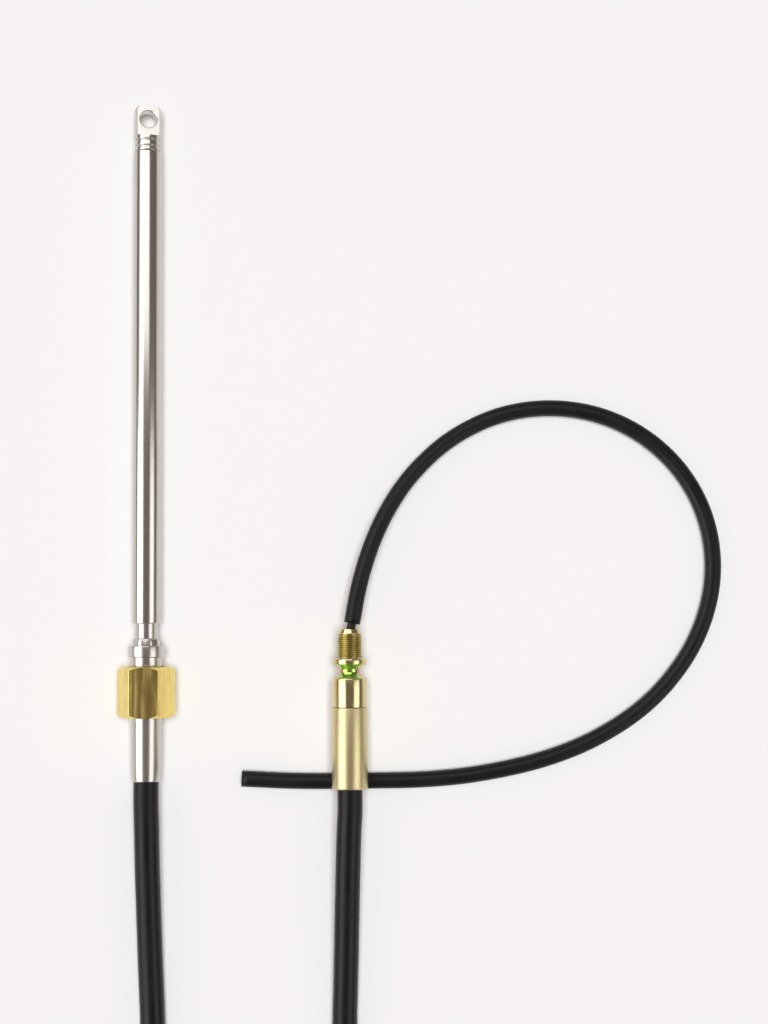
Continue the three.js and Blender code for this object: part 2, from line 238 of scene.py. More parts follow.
class SteeringCableSizes(bpy.types.PropertyGroup):
    """Sizes that a user would change."""

    ram_od: length_prop("Ram diameter", "Outside diameter of the ram tube", RAM_BOX[1].x - RAM_BOX[0].x)
    ram_bore: length_prop("Ram bore", "Bore of the ram tube", 13.3 * MM)
    eye_od: length_prop("Eye diameter", "Diameter of the bar that the eye is milled from", 15.0 * MM)
    eye_thickness: length_prop("Eye thickness", "Distance between the eye's two flats", 8.6 * MM)
    eye_flat: length_prop("Eye flat length", "Length of the flats, from the tip", 17.8 * MM)
    eye_turn: bpy.props.FloatProperty(
        name="Eye turn",
        description="Turn of the flats about the ram",
        default=math.radians(12),
        subtype="ANGLE",
    )
    pin_hole: length_prop("Pin hole", "Diameter of the cross hole in the eye", 9.8 * MM)
    pin_from_tip: length_prop("Pin from tip", "Distance of the cross hole from the tip", 8.3 * MM)
    guide_od: length_prop("Guide tube diameter", "Outside diameter of the guide tube", 12.7 * MM)
    guide_bore: length_prop("Guide tube bore", "Bore of the guide tube", 8.5 * MM)
    core_od: length_prop("Core diameter", "Diameter of the steel core", 5.0 * MM)
    ferrule_od: length_prop("Ram ferrule diameter", "Diameter of the ferrule behind its flange", 18.0 * MM)
    flange_od: length_prop("Ram flange diameter", "Diameter of the flange that the nut pulls on", 20.2 * MM)
    flange_start: length_prop("Ram flange place", "Distance of the flange from the rear end", 69.7 * MM)
    nut_flats: length_prop("Nut across flats", "Wrench size of the nut", NUT_BOX[1].z - NUT_BOX[0].z)
    nut_bore: length_prop("Nut thread bore", "Inside diameter of the nut's thread", 20.67 * MM)
    nut_shoulder: length_prop("Nut shoulder bore", "Bore of the nut's rear shoulder", 19.3 * MM)
    nut_pitch: length_prop("Nut thread pitch", "Pitch of the 7/8-14 thread", 25.4 / 14 * MM)
    helm_ferrule_od: length_prop("Helm ferrule diameter", "Rear diameter of the helm ferrule", 20.3 * MM)
    helm_body_od: length_prop("Helm body diameter", "Diameter of the helm fitting's body", 19.6 * MM)
    helm_neck_od: length_prop("Helm neck diameter", "Diameter of the helm fitting's waist", 11.8 * MM)
    helm_flange_od: length_prop("Helm flange diameter", "Diameter of the flange behind the nose", 19.3 * MM)
    helm_thread_od: length_prop("Helm thread diameter", "Outside diameter of the nose's thread", 14.0 * MM)
    helm_pitch: length_prop("Helm thread pitch", "Pitch of the nose's thread", 1.06 * MM)
    jacket_od: length_prop("Jacket diameter", "Outside diameter of the cable jacket", 14.2 * MM)
    jacket_length: length_prop("Jacket length", "Whole length of the jacket, its coil included", 2.591)
    sleeve_od: length_prop("Sleeve diameter", "Outside diameter of the sleeve over the bare core", 9.2 * MM)
    sleeve_wall: length_prop("Sleeve wall", "Wall of the sleeve", 1.4 * MM)
    sleeve_length: length_prop("Sleeve length", "Length of the sleeve from nose to open end", 0.662)
    turn_gap: length_prop("Turn gap", "Clear space between neighbouring turns of the coil", 0.2 * MM)


class SteeringCableColours(bpy.types.PropertyGroup):
    """Base colours of the finishes."""

    stainless: colour_prop("Stainless steel", "Turned and polished stainless steel", "#CCC9C3")
    brass: colour_prop("Brass", "Clean drawn brass", "#F7E18C")
    brass_dark: colour_prop("Brass tarnish", "Darker, browner brass along the drawing lines", "#B98F35")
    zinc: colour_prop("Yellow zinc", "Straw colour of yellow passivated zinc", "#D9C99D")
    zinc_green: colour_prop("Zinc green", "Green tint where the passivation is thin", "#B4E06C")
    # Also painted as an iridescent sheen on the flanks of the helm fitting's waist, by which way the
    # surface faces.
    zinc_pink_and_sheen: colour_prop("Zinc pink", "Pink tint where the passivation is thicker", "#D89AA0")
    zinc_olive: colour_prop("Zinc olive", "Olive tint in the thread", "#E0CE7C")
    core: colour_prop("Core", "Dark greased steel core", "#2C2723")
    jacket: colour_prop("Jacket", "Black polyethylene of the jacket", "#0D0D0E")
    sleeve: colour_prop("Sleeve", "Black plastic of the sleeve", "#0B0B0C")
    floor: colour_prop("Floor", "Pale floor", "#FAFBFC")


def sizes():
    return bpy.context.scene.steering_cable_sizes


def colours():
    return bpy.context.scene.steering_cable_colours


def add_node(tree, kind, inputs=None, **settings):
    """Add a node, set its settings, and give each named input a value or the socket that feeds it."""
    node = tree.nodes.new(kind)
    for key, value in settings.items():
        setattr(node, key, value)
    for key, value in (inputs or {}).items():
        if isinstance(value, bpy.types.NodeSocket):
            tree.links.new(value, node.inputs[key])
        else:
            node.inputs[key].default_value = value
    return node


def start_material(name):
    """An empty material with a Principled surface, and the coordinates that its patterns read."""
    made = bpy.data.materials.new(name)
    made.use_nodes = True
    tree = made.node_tree
    tree.nodes.clear()
    shader = add_node(tree, "ShaderNodeBsdfPrincipled")
    add_node(tree, "ShaderNodeOutputMaterial", {"Surface": shader.outputs["BSDF"]})
    place = add_node(tree, "ShaderNodeTexCoord").outputs["Object"]
    return made, tree, shader, place


def noise(tree, place, feature_mm, detail=3.0, roughness=0.55):
    """Noise whose blotches are about as wide as feature_mm says, for X, Y and Z."""
    stretched = add_node(
        tree, "ShaderNodeMapping", {"Vector": place, "Scale": [1 / (size * MM) for size in feature_mm]}
    )
    return add_node(
        tree,
        "ShaderNodeTexNoise",
        {"Vector": stretched.outputs["Vector"], "Scale": 1.0, "Detail": detail, "Roughness": roughness},
    ).outputs["Fac"]


def remap(tree, value, low, high, to_low, to_high):
    """Stretch the values from low to high over to_low to to_high, and hold them there outside it."""
    return add_node(
        tree,
        "ShaderNodeMapRange",
        {"Value": value, "From Min": low, "From Max": high, "To Min": to_low, "To Max": to_high},
    ).outputs["Result"]


def mix_colour(tree, share, first, second):
    """The first colour at a share of 0 and the second at 1."""
    mixed = add_node(tree, "ShaderNodeMix", data_type="RGBA")
    for index, value in ((0, share), (6, first), (7, second)):
        if isinstance(value, bpy.types.NodeSocket):
            tree.links.new(value, mixed.inputs[index])
        else:
            mixed.inputs[index].default_value = value
    return mixed.outputs[2]


def combine(tree, first, second, operation):
    """One number from two."""
    return add_node(tree, "ShaderNodeMath", {0: first, 1: second}, operation=operation).outputs[0]


def darkened(colour, share):
    """A share of a colour's brightness."""
    return [c * share for c in colour[:3]] + [1.0]


def bump(tree, shader, height, depth_mm, strength=1.0):
    """Let a pattern stand up from the surface, by a depth in millimetres."""
    bumped = add_node(
        tree, "ShaderNodeBump", {"Height": height, "Distance": depth_mm * MM, "Strength": strength}
    )
    tree.links.new(bumped.outputs["Normal"], shader.inputs["Normal"])


def ground_stainless(name, base_roughness, line_mm):
    """Stainless steel, ground and polished round its axis: bright bands with fine rings in them."""
    made, tree, shader, place = start_material(name)
    shader.inputs["Metallic"].default_value = 1.0
    # Real grinding lines are some hundredths of a millimetre wide: these are drawn coarser, to show.
    rings = noise(tree, place, (4.0, line_mm, 4.0), detail=2.0)
    smears = noise(tree, place, (9.0, 30.0, 9.0))
    tone = remap(tree, smears, 0.3, 0.7, 0.82, 1.0)
    shade = mix_colour(tree, tone, darkened(colours().stainless, 0.8), list(colours().stainless))
    tree.links.new(shade, shader.inputs["Base Color"])
    rough = remap(tree, rings, 0.3, 0.7, base_roughness - 0.015, base_roughness + 0.02)
    tree.links.new(rough, shader.inputs["Roughness"])
    bump(tree, shader, rings, 0.001)
    return made


def drawn_brass():
    """Brass drawn to a hexagon: fine lines along the bar, with browner streaks between them."""
    made, tree, shader, place = start_material("drawn brass")
    shader.inputs["Metallic"].default_value = 1.0
    # The drawing lines are finer than this on a real bar, and are drawn coarser, to show.
    lines = noise(tree, place, (0.35, 14.0, 0.35), detail=4.0)
    stains = noise(tree, place, (5.0, 9.0, 5.0), detail=4.0)
    columns = noise(tree, place, (2.2, 45.0, 2.2), detail=2.0)
    streaks = combine(tree, lines, stains, "MULTIPLY")
    share = remap(tree, streaks, 0.22, 0.42, 0.0, 0.4)
    shade = mix_colour(tree, share, list(colours().brass), list(colours().brass_dark))
    share = remap(tree, columns, 0.42, 0.62, 0.0, 0.3)
    shade = mix_colour(tree, share, shade, list(colours().brass_dark))
    tree.links.new(shade, shader.inputs["Base Color"])
    rough = remap(tree, columns, 0.36, 0.6, 0.29, 0.13)
    rough = combine(tree, rough, remap(tree, lines, 0.3, 0.7, -0.03, 0.03), "ADD")
    tree.links.new(rough, shader.inputs["Roughness"])
    bump(tree, shader, lines, 0.008)
    return made


def yellow_zinc(name, base_roughness, rainbow):
    """Steel plated with zinc and passivated yellow: straw coloured, with green and pink patches."""
    made, tree, shader, place = start_material(name)
    shader.inputs["Metallic"].default_value = 1.0
    patches = noise(tree, place, (7.0, 5.0, 7.0), detail=3.0)
    drift = noise(tree, place, (11.0, 16.0, 11.0), detail=2.0)
    share = remap(tree, patches, 0.52, 0.72, 0.0, rainbow)
    greened = mix_colour(tree, share, list(colours().zinc), list(colours().zinc_green))
    share = remap(tree, drift, 0.56, 0.74, 0.0, rainbow)
    pinked = mix_colour(tree, share, greened, list(colours().zinc_pink_and_sheen))
    tree.links.new(pinked, shader.inputs["Base Color"])
    rings = noise(tree, place, (5.0, 0.4, 5.0), detail=2.0)
    rough = remap(tree, rings, 0.3, 0.7, base_roughness - 0.05, base_roughness + 0.07)
    tree.links.new(rough, shader.inputs["Roughness"])
    bump(tree, shader, rings, 0.003)
    return made


def helm_zinc():
    """Yellow zinc on the machined fitting: straw body, green waist with a painted pink flank sheen, olive
    thread with painted root shade.
    """
    made, tree, shader, place = start_material("yellow zinc on machined steel")
    shader.inputs["Metallic"].default_value = 1.0
    along = add_node(tree, "ShaderNodeSeparateXYZ", {"Vector": place}).outputs["Y"]
    # Painted sheen: the waist turns from green to pink where its surface faces sideways, as thin
    # passivation shimmers at a grazing view.
    normal = add_node(tree, "ShaderNodeNewGeometry").outputs["Normal"]
    side = add_node(tree, "ShaderNodeSeparateXYZ", {"Vector": normal}).outputs["X"]
    flank_sheen = add_node(tree, "ShaderNodeMath", {0: side}, operation="ABSOLUTE").outputs[0]
    patches = noise(tree, place, (5.0, 4.0, 5.0), detail=3.0)
    green = list(colours().zinc_green)
    olive = list(colours().zinc_olive)
    body = mix_colour(tree, remap(tree, patches, 0.5, 0.75, 0.0, 0.35), list(colours().zinc), green)
    waist = mix_colour(tree, remap(tree, flank_sheen, 0.55, 0.8, 0.0, 1.0), green, list(colours().zinc_pink_and_sheen))
    share = remap(tree, patches, 0.4, 0.65, 0.0, 0.6)
    thread = mix_colour(tree, share, olive, list(colours().brass_dark))
    waist_start = HELM_AXIS.y + (BODY_END - 0.6) * MM
    waist_end = HELM_AXIS.y + (HELM_FLANGE_START + 0.5) * MM
    in_waist = combine(
        tree,
        remap(tree, along, waist_start, waist_start + 1.2 * MM, 0.0, 1.0),
        remap(tree, along, waist_end, waist_end + 1.0 * MM, 1.0, 0.0),
        "MULTIPLY",
    )
    thread_start = HELM_AXIS.y + THREAD_START * MM
    tip_start = HELM_AXIS.y + (NOSE_END - NOSE_TIP) * MM
    in_thread = combine(
        tree,
        remap(tree, along, thread_start - 0.4 * MM, thread_start + 0.4 * MM, 0.0, 1.0),
        remap(tree, along, tip_start - 0.1 * MM, tip_start + 0.2 * MM, 1.0, 0.0),
        "MULTIPLY",
    )
    # Painted shade: the thread's root is darkened below its crest, by the distance from the helm's axis.
    off_axis = (-HELM_AXIS.x, 0, -HELM_AXIS.z)
    across = add_node(
        tree, "ShaderNodeMapping", {"Vector": place, "Scale": (1, 0, 1), "Location": off_axis}
    ).outputs["Vector"]
    radius = add_node(tree, "ShaderNodeVectorMath", {0: across}, operation="LENGTH").outputs["Value"]
    crest = sizes().helm_thread_od / 2
    deep = remap(tree, radius, crest - 0.55 * MM, crest - 0.1 * MM, 1.0, 0.0)
    thread = mix_colour(tree, deep, thread, darkened(olive, 0.42))
    shade = mix_colour(tree, in_thread, mix_colour(tree, in_waist, body, waist), thread)
    tree.links.new(shade, shader.inputs["Base Color"])
    rough = remap(tree, patches, 0.3, 0.7, 0.12, 0.22)
    rough = combine(tree, rough, remap(tree, in_thread, 0.0, 1.0, 0.0, 0.16), "ADD")
    tree.links.new(rough, shader.inputs["Roughness"])
    return made


def greased_core():
    """The steel core under a film of dark grease: nearly black, with a dull metal gleam."""
    made, tree, shader, place = start_material("greased steel core")
    shader.inputs["Metallic"].default_value = 0.6
    film = noise(tree, place, (1.2, 1.2, 1.2))
    shade = mix_colour(tree, film, darkened(colours().core, 0.5), list(colours().core))
    tree.links.new(shade, shader.inputs["Base Color"])
    tree.links.new(remap(tree, film, 0.3, 0.7, 0.3, 0.55), shader.inputs["Roughness"])
    return made


def black_extrusion(name, base, roughness, haze):
    """Black plastic extruded over the cable: smooth, with a faint dusty haze and a very fine ripple."""
    made, tree, shader, place = start_material(name)
    shader.inputs["IOR"].default_value = 1.5
    shader.inputs["Specular IOR Level"].default_value = 0.28
    dust = noise(tree, place, (14.0, 14.0, 14.0), detail=5.0, roughness=0.65)
    fine = noise(tree, place, (0.9, 0.9, 0.9), detail=2.0)
    paler = [min(1.0, c * haze) for c in base[:3]] + [1.0]
    shade = mix_colour(tree, remap(tree, dust, 0.42, 0.72, 0.0, 1.0), list(base), paler)
    tree.links.new(shade, shader.inputs["Base Color"])
    rough = remap(tree, dust, 0.3, 0.7, roughness - 0.05, roughness + 0.08)
    tree.links.new(rough, shader.inputs["Roughness"])
    bump(tree, shader, fine, 0.02, 0.6)
    return made


def floor_board():
    """Plain pale matt floor."""
    made, _, shader, _ = start_material("pale matt floor")
    shader.inputs["Base Color"].default_value = list(colours().floor)
    shader.inputs["Roughness"].default_value = 0.9
    shader.inputs["Specular IOR Level"].default_value = 0.2
    return made


def round_off(made, geom, offset_mm, affect, segments=4):
    """Round the corners of a profile, or the edges of a block."""
    bmesh.ops.bevel(
        made,
        geom=geom,
        offset=offset_mm * MM,
        offset_type="OFFSET",
        segments=segments,
        profile=0.5,
        affect=affect,
        material=-1,
    )


def lathe(profile, closed, steps=ROUND):
    """A bmesh turned about Y from a profile of (radius, place along Y, corner rounding), in millimetres."""
    made = bmesh.new()
    corners = [made.verts.new((radius * MM, along * MM, 0)) for radius, along, _ in profile]
    for pair in zip(corners, corners[1:]):
        made.edges.new(pair)
    if closed:
        made.edges.new((corners[-1], corners[0]))
    for rounding in sorted({r for _, _, r in profile if r}):
        chosen = [v for v, (_, _, r) in zip(corners, profile) if r == rounding and v.is_valid]
        round_off(made, chosen, rounding, "VERTICES")
    bmesh.ops.spin(
        made,
        geom=made.verts[:] + made.edges[:],
        cent=(0, 0, 0),
        axis=(0, 1, 0),
        angle=math.tau,
        steps=steps,
        use_merge=True,
    )
    bmesh.ops.remove_doubles(made, verts=made.verts, dist=SAME_CORNER)
    bmesh.ops.recalc_face_normals(made, faces=made.faces)
    return made


def radius_mm(diameter):
    """Half of a diameter in metres, in millimetres."""
    return diameter / MM / 2


def shade_by_angle(piece, sharp_deg=SHARP_DEG):
    """Smooth shading, with a sharp edge wherever the surface turns by more than the angle."""
    piece.data.shade_smooth()
    piece.data.set_sharp_from_angle(angle=math.radians(sharp_deg))


def to_object(name, made, material=None, sharp_deg=SHARP_DEG):
    """Turn a bmesh into an object with smooth shading and sharp edges where it turns."""
    mesh = bpy.data.meshes.new(name)
    made.to_mesh(mesh)
    made.free()
    piece = bpy.data.objects.new(name, mesh)
    bpy.context.scene.collection.objects.link(piece)
    shade_by_angle(piece, sharp_deg)
    if material:
        mesh.materials.append(material)
    return piece


def move_mesh(made, axis):
    """Put a bmesh that was made about Y onto an axis of the cable."""
    bmesh.ops.transform(made, matrix=Matrix.Translation(axis), verts=made.verts)
    return made


def cut(piece, cutter, operation="DIFFERENCE"):
    """Cut a piece by another object, and delete that other object."""
    modifier = piece.modifiers.new("cut", "BOOLEAN")
    modifier.operation = operation
    modifier.solver = "EXACT"
    modifier.object = cutter
    shape = bpy.data.meshes.new_from_object(piece.evaluated_get(bpy.context.evaluated_depsgraph_get()))
    merged = bmesh.new()
    merged.from_mesh(shape)
    bmesh.ops.dissolve_degenerate(merged, edges=merged.edges, dist=SLIVER)
    merged.to_mesh(shape)
    merged.free()
    old = piece.data
    piece.modifiers.clear()
    piece.data = shape
    shape.name = piece.name
    bpy.data.meshes.remove(old)
    bpy.data.objects.remove(cutter)


def fit_piece(piece, body, slot, *nodes):
    """Say which body a piece moves with, and which solids it stands for, which it hides. Its finish slot is
    not used.
    """
    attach(piece, body)
    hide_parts(*nodes)


def along_ram(place):
    """A place along Y as millimetres from the ram ferrule's rear end."""
    return (place - RAM_AXIS.y) / MM


def along_helm(place):
    """A place along Y as millimetres from the helm ferrule's rear end."""
    return (place - HELM_AXIS.y) / MM


# Stations along the two axes, in millimetres. The last four come from the photograph.
RAM_START = along_ram(RAM_BOX[0].y)
RAM_END = along_ram(RAM_BOX[1].y)
TIP = along_ram(EYE_BOX[1].y)
SHANK_START = along_ram(EYE_BOX[0].y)
FERRULE_END = along_ram(RAM_FERRULE_BOX[1].y)
COLLAR_END = along_ram(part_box("staked_collar")[1].y)
NUT_START = along_ram(NUT_BOX[0].y)
NUT_END = along_ram(NUT_BOX[1].y)
HELM_FERRULE_END = along_helm(HELM_FERRULE_BOX[1].y)
BODY_START = along_helm(HELM_BOX[0].y)
NOSE_END = along_helm(HELM_BOX[1].y)
BODY_END = BODY_START + 16.5
HELM_FLANGE_START = BODY_END + 6.8
THREAD_START = HELM_FLANGE_START + 4.1
NOSE_TIP = 2.8


def smooth_line(points, spacing):
    """A centripetal Catmull-Rom curve through all the points, as places about one spacing apart."""
    first = 2 * points[0] - points[1]
    last = 2 * points[-1] - points[-2]
    every = [first, *points, last]
    line = []
    for before, start, end, after in zip(every, every[1:], every[2:], every[3:]):
        gaps = [math.sqrt((b - a).length) for a, b in ((before, start), (start, end), (end, after))]
        leave = (start - before) / gaps[0] - (end - before) / (gaps[0] + gaps[1]) + (end - start) / gaps[1]
        reach = (end - start) / gaps[1] - (after - start) / (gaps[1] + gaps[2]) + (after - end) / gaps[2]
        leave *= gaps[1]
        reach *= gaps[1]
        count = max(2, round((end - start).length / spacing))
        for k in range(count):
            t = k / count
            line.append(
                start
                + leave * t
                + (3 * (end - start) - 2 * leave - reach) * t**2
                + (2 * (start - end) + leave + reach) * t**3
            )
    return line + [points[-1]]


def ease(value, start):
    """0 before start, 1 after the shift, and smooth between."""
    share = min(1.0, max(0.0, (value - start) / SHIFT_LENGTH))
    return share * share * (3 - 2 * share)


def coil_points():
    """The turns: one outside on the floor, one inside it, one on top of that, the last outside again."""
    pitch = sizes().jacket_od + sizes().turn_gap
    ring = COIL_RADIUS * sizes().jacket_od
    floor_level = RAM_RUN[-1][2]
    points = []
    for k in range(round(COIL_TURNS * COIL_POINTS) + 1):
        turn = k / COIL_POINTS
        radius = ring + pitch * (0.5 - ease(turn, SHIFT_IN_AT) + ease(turn, SHIFT_OUT_AT))
        height = floor_level + pitch * ease(turn, SHIFT_UP_AT)
        angle = math.pi + math.tau * turn
        x = COIL_X + radius * math.cos(angle)
        y = COIL_Y + radius * math.sin(angle)
        points.append(Vector((x, y, height)))
    return points


def jacket_route():
    """From inside the ram end ferrule, round the coil, to inside the helm ferrule."""
    straight = Vector((0, -STRAIGHT_OUT * sizes().jacket_od, 0))
    approach = [Vector(p) for p in (*RAM_RUN, INTO_COIL)]
    leave = [Vector(p) for p in (OUT_OF_COIL, *reversed(HELM_RUN))]
    start = [RAM_AXIS, RAM_AXIS + straight]
    end = [HELM_AXIS + straight, HELM_AXIS]
    return start + approach + coil_points() + leave + end


def cord_curve(name, points, diameter, material):
    """A round cord as a curve of one open spline."""
    curve = bpy.data.curves.new(name, "CURVE")
    curve.dimensions = "3D"
    curve.bevel_depth = diameter / 2
    curve.bevel_resolution = 6
    curve.use_fill_caps = True
    spline = curve.splines.new("POLY")
    spline.points.add(len(points) - 1)
    for point, place in zip(spline.points, points):
        point.co = (*place, 1)
    spline.use_smooth = True
    curve.materials.append(material)
    piece = bpy.data.objects.new(name, curve)
    bpy.context.scene.collection.objects.link(piece)
    return piece


class STEERING_OT_stage(bpy.types.Operator):
    """Add the pale floor, the camera, the soft boxes and the overhead fill"""

    bl_idname = "steering.stage"
    bl_label = "Stage"

    def execute(self, context):
        self.add_floor()
        self.add_camera(context)
        self.add_light(context)
        return {"FINISHED"}

    def add_floor(self):
        made = bmesh.new()
        bmesh.ops.create_grid(made, x_segments=1, y_segments=1, size=FLOOR_REACH)
        floor = to_object("floor", made, floor_board())

    def add_camera(self, context):
        data = bpy.data.cameras.new("photo camera")
        data.sensor_fit = "VERTICAL"
        data.sensor_height = SENSOR
        data.lens = VIEW_DISTANCE / METRES_PER_PIXEL * SENSOR / IMAGE_HEIGHT
        data.clip_start = 0.01
        camera = bpy.data.objects.new("photo camera", data)
        away = Vector((0, -math.cos(VIEW_ELEVATION), math.sin(VIEW_ELEVATION)))
        tilt = Matrix.Rotation(math.pi / 2 - VIEW_ELEVATION, 4, "X") @ Matrix.Rotation(-VIEW_ROLL, 4, "Z")
        camera.matrix_world = Matrix.Translation(VIEW_TARGET + away * VIEW_DISTANCE) @ tilt
        context.scene.collection.objects.link(camera)
        context.scene.camera = camera

    def add_light(self, context):
        # Colours come out as they are given, without a film curve.
        context.scene.view_settings.view_transform = "Standard"
        world = bpy.data.worlds.new("studio")
        world.use_nodes = True
        background = world.node_tree.nodes["Background"]
        background.inputs["Color"].default_value = linear(WORLD_COLOUR)
        background.inputs["Strength"].default_value = WORLD_STRENGTH
        context.scene.world = world
        for name, turn, middle, distance, width, length, radiance in SOFT_BOXES:
            data = bpy.data.lights.new(name, "AREA")
            data.shape = "RECTANGLE"
            data.size = width
            data.size_y = length
            # The power of a flat light is its radiance times pi times its area.
            data.energy = radiance * math.pi * width * length
            light = bpy.data.objects.new(name, data)
            light.visible_camera = False
            light.visible_diffuse = name == FILL
            light.visible_glossy = name != FILL
            direction = Matrix.Rotation(math.radians(turn), 4, "Y")
            away = Matrix.Translation((0, 0, distance))
            light.matrix_world = Matrix.Translation((0.0, middle, 0)) @ direction @ away
            context.scene.collection.objects.link(light)


class STEERING_OT_jacket(bpy.types.Operator):
    """Lay the black jacket from the ram end round its coil to the helm end"""

    bl_idname = "steering.jacket"
    bl_label = "Jacket"

    def execute(self, context):
        size = sizes()
        finish = black_extrusion("black polyethylene jacket", colours().jacket, roughness=0.36, haze=1.7)
        line = smooth_line(jacket_route(), spacing=4.5 * MM)
        jacket = cord_curve("jacket", line, size.jacket_od, finish)
        stretches = ("jacket_run_ram_end", "jacket_coil", "jacket_run_helm_end")
        fit_piece(jacket, FIXED, "jacket_plastic", *stretches)
        return {"FINISHED"}


class STEERING_OT_sleeve(bpy.types.Operator):
    """Lay the black sleeve over the bare core, open at both ends"""

    bl_idname = "steering.sleeve"
    bl_label = "Core sleeve"

    def execute(self, context):
        size = sizes()
        finish = black_extrusion("black nylon sleeve", colours().sleeve, roughness=0.42, haze=2.0)
        line = smooth_line([Vector(p) for p in SLEEVE_ROUTE], spacing=3.5 * MM)
        pattern = cord_curve("sleeve pattern", line, size.sleeve_od, finish)
        pattern.data.use_fill_caps = False
        shown = pattern.evaluated_get(context.evaluated_depsgraph_get())
        mesh = bpy.data.meshes.new_from_object(shown)
        bpy.data.objects.remove(pattern)
        sleeve = bpy.data.objects.new("core_sleeve_tube", mesh)
        context.scene.collection.objects.link(sleeve)
        mesh.name = "core_sleeve_tube"
        wall = sleeve.modifiers.new("wall", "SOLIDIFY")
        wall.thickness = size.sleeve_wall
        wall.offset = -1
        shade_by_angle(sleeve, 40)
        fit_piece(sleeve, FIXED, "sleeve_plastic", "core_sleeve")
        return {"FINISHED"}


class STEERING_OT_ram(bpy.types.Operator):
    """Build the ram tube and the milled eye in its outer end"""

    bl_idname = "steering.ram"
    bl_label = "Ram and eye"

    def execute(self, context):
        self.polished = ground_stainless("polished stainless steel tube", base_roughness=0.2, line_mm=0.35)
        self.make_tube()
        self.make_eye()
        return {"FINISHED"}

    def make_tube(self):
        outer = radius_mm(sizes().ram_od)
        bore = radius_mm(sizes().ram_bore)
        profile = [
            (bore, RAM_START, 0.2),
            (outer, RAM_START, 0.8),
            (outer, RAM_END, 0.5),
            (bore, RAM_END, 0.2),
        ]
        tube = to_object("ram_tube_ground", move_mesh(lathe(profile, True), RAM_AXIS), self.polished)
        fit_piece(tube, RAM, "stainless", "ram_tube")

    def make_eye(self):
        size = sizes()
        radius = radius_mm(size.eye_od)
        shank = radius_mm(size.ram_bore) - BORE_FIT
        groove = radius - 0.7
        shoulder = RAM_END + 0.3
        grooves = []
        for start in (RAM_END + 2.0, RAM_END + 5.6):
            grooves += [
                (radius, start, 0.15),
                (groove, start + 0.25, 0.1),
                (groove, start + 0.85, 0.1),
                (radius, start + 1.1, 0.15),
            ]
        profile = [
            (0, SHANK_START, 0),
            (shank, SHANK_START, 0.5),
            (shank, shoulder, 0),
            (radius, shoulder, 0.3),
            *grooves,
            (radius, TIP, 3.0),
            (0, TIP, 0),
        ]
        eye = to_object("ram_eye_milled", lathe(profile, False), self.polished)
        flat_length = size.eye_flat / MM
        for side in (1, -1):
            cut(eye, self.flat_cutter(side, flat_length))
        cut(eye, self.hole_cutter())
        eye.data.transform(Matrix.Translation(RAM_AXIS) @ Matrix.Rotation(size.eye_turn, 4, "Y"))
        shade_by_angle(eye)
        fit_piece(eye, RAM, "stainless", "ram_eye")

    def flat_cutter(self, side, flat_length):
        """A block with rounded lower edges, as an end mill leaves them."""
        thick = sizes().eye_thickness / MM
        wide = 30.0
        deep = 10.0
        past_tip = 10.0
        mill_corner = 0.6
        near = 0.01
        made = bmesh.new()
        bmesh.ops.create_cube(made, size=1.0)
        block = (wide * MM, (flat_length + past_tip) * MM, deep * MM)
        bmesh.ops.scale(made, vec=block, verts=made.verts)
        middle = (0, (TIP - flat_length / 2 + past_tip / 2) * MM, side * (thick / 2 + deep / 2) * MM)
        bmesh.ops.translate(made, vec=middle, verts=made.verts)
        low = TIP - flat_length
        inner = {
            v
            for v in made.verts
            if abs(v.co.y / MM - low) < near and abs(abs(v.co.z / MM) - thick / 2) < near
        }
        edges = [e for e in made.edges if all(v in inner for v in e.verts)]
        round_off(made, edges, mill_corner, "EDGES")
        return to_object("flat cutter", made)

    def hole_cutter(self):
        """The cross hole, countersunk where it meets the flats, and flared beyond them."""
        radius = radius_mm(sizes().pin_hole)
        half = radius_mm(sizes().eye_thickness)
        edge = 0.35
        flare = 4
        reach = 12
        profile = [
            (0, -reach, 0),
            (radius + flare, -reach, 0),
            (radius + edge, -half, 0),
            (radius, -half + edge, 0),
        ]
        profile += [(r, -y, 0) for r, y, _ in reversed(profile)]
        made = lathe(profile, False, 64)
        upright = Matrix.Rotation(math.pi / 2, 4, "X")
        place = Matrix.Translation((0, TIP * MM - sizes().pin_from_tip, 0)) @ upright
        bmesh.ops.transform(made, matrix=place, verts=made.verts)
        return to_object("hole cutter", made)


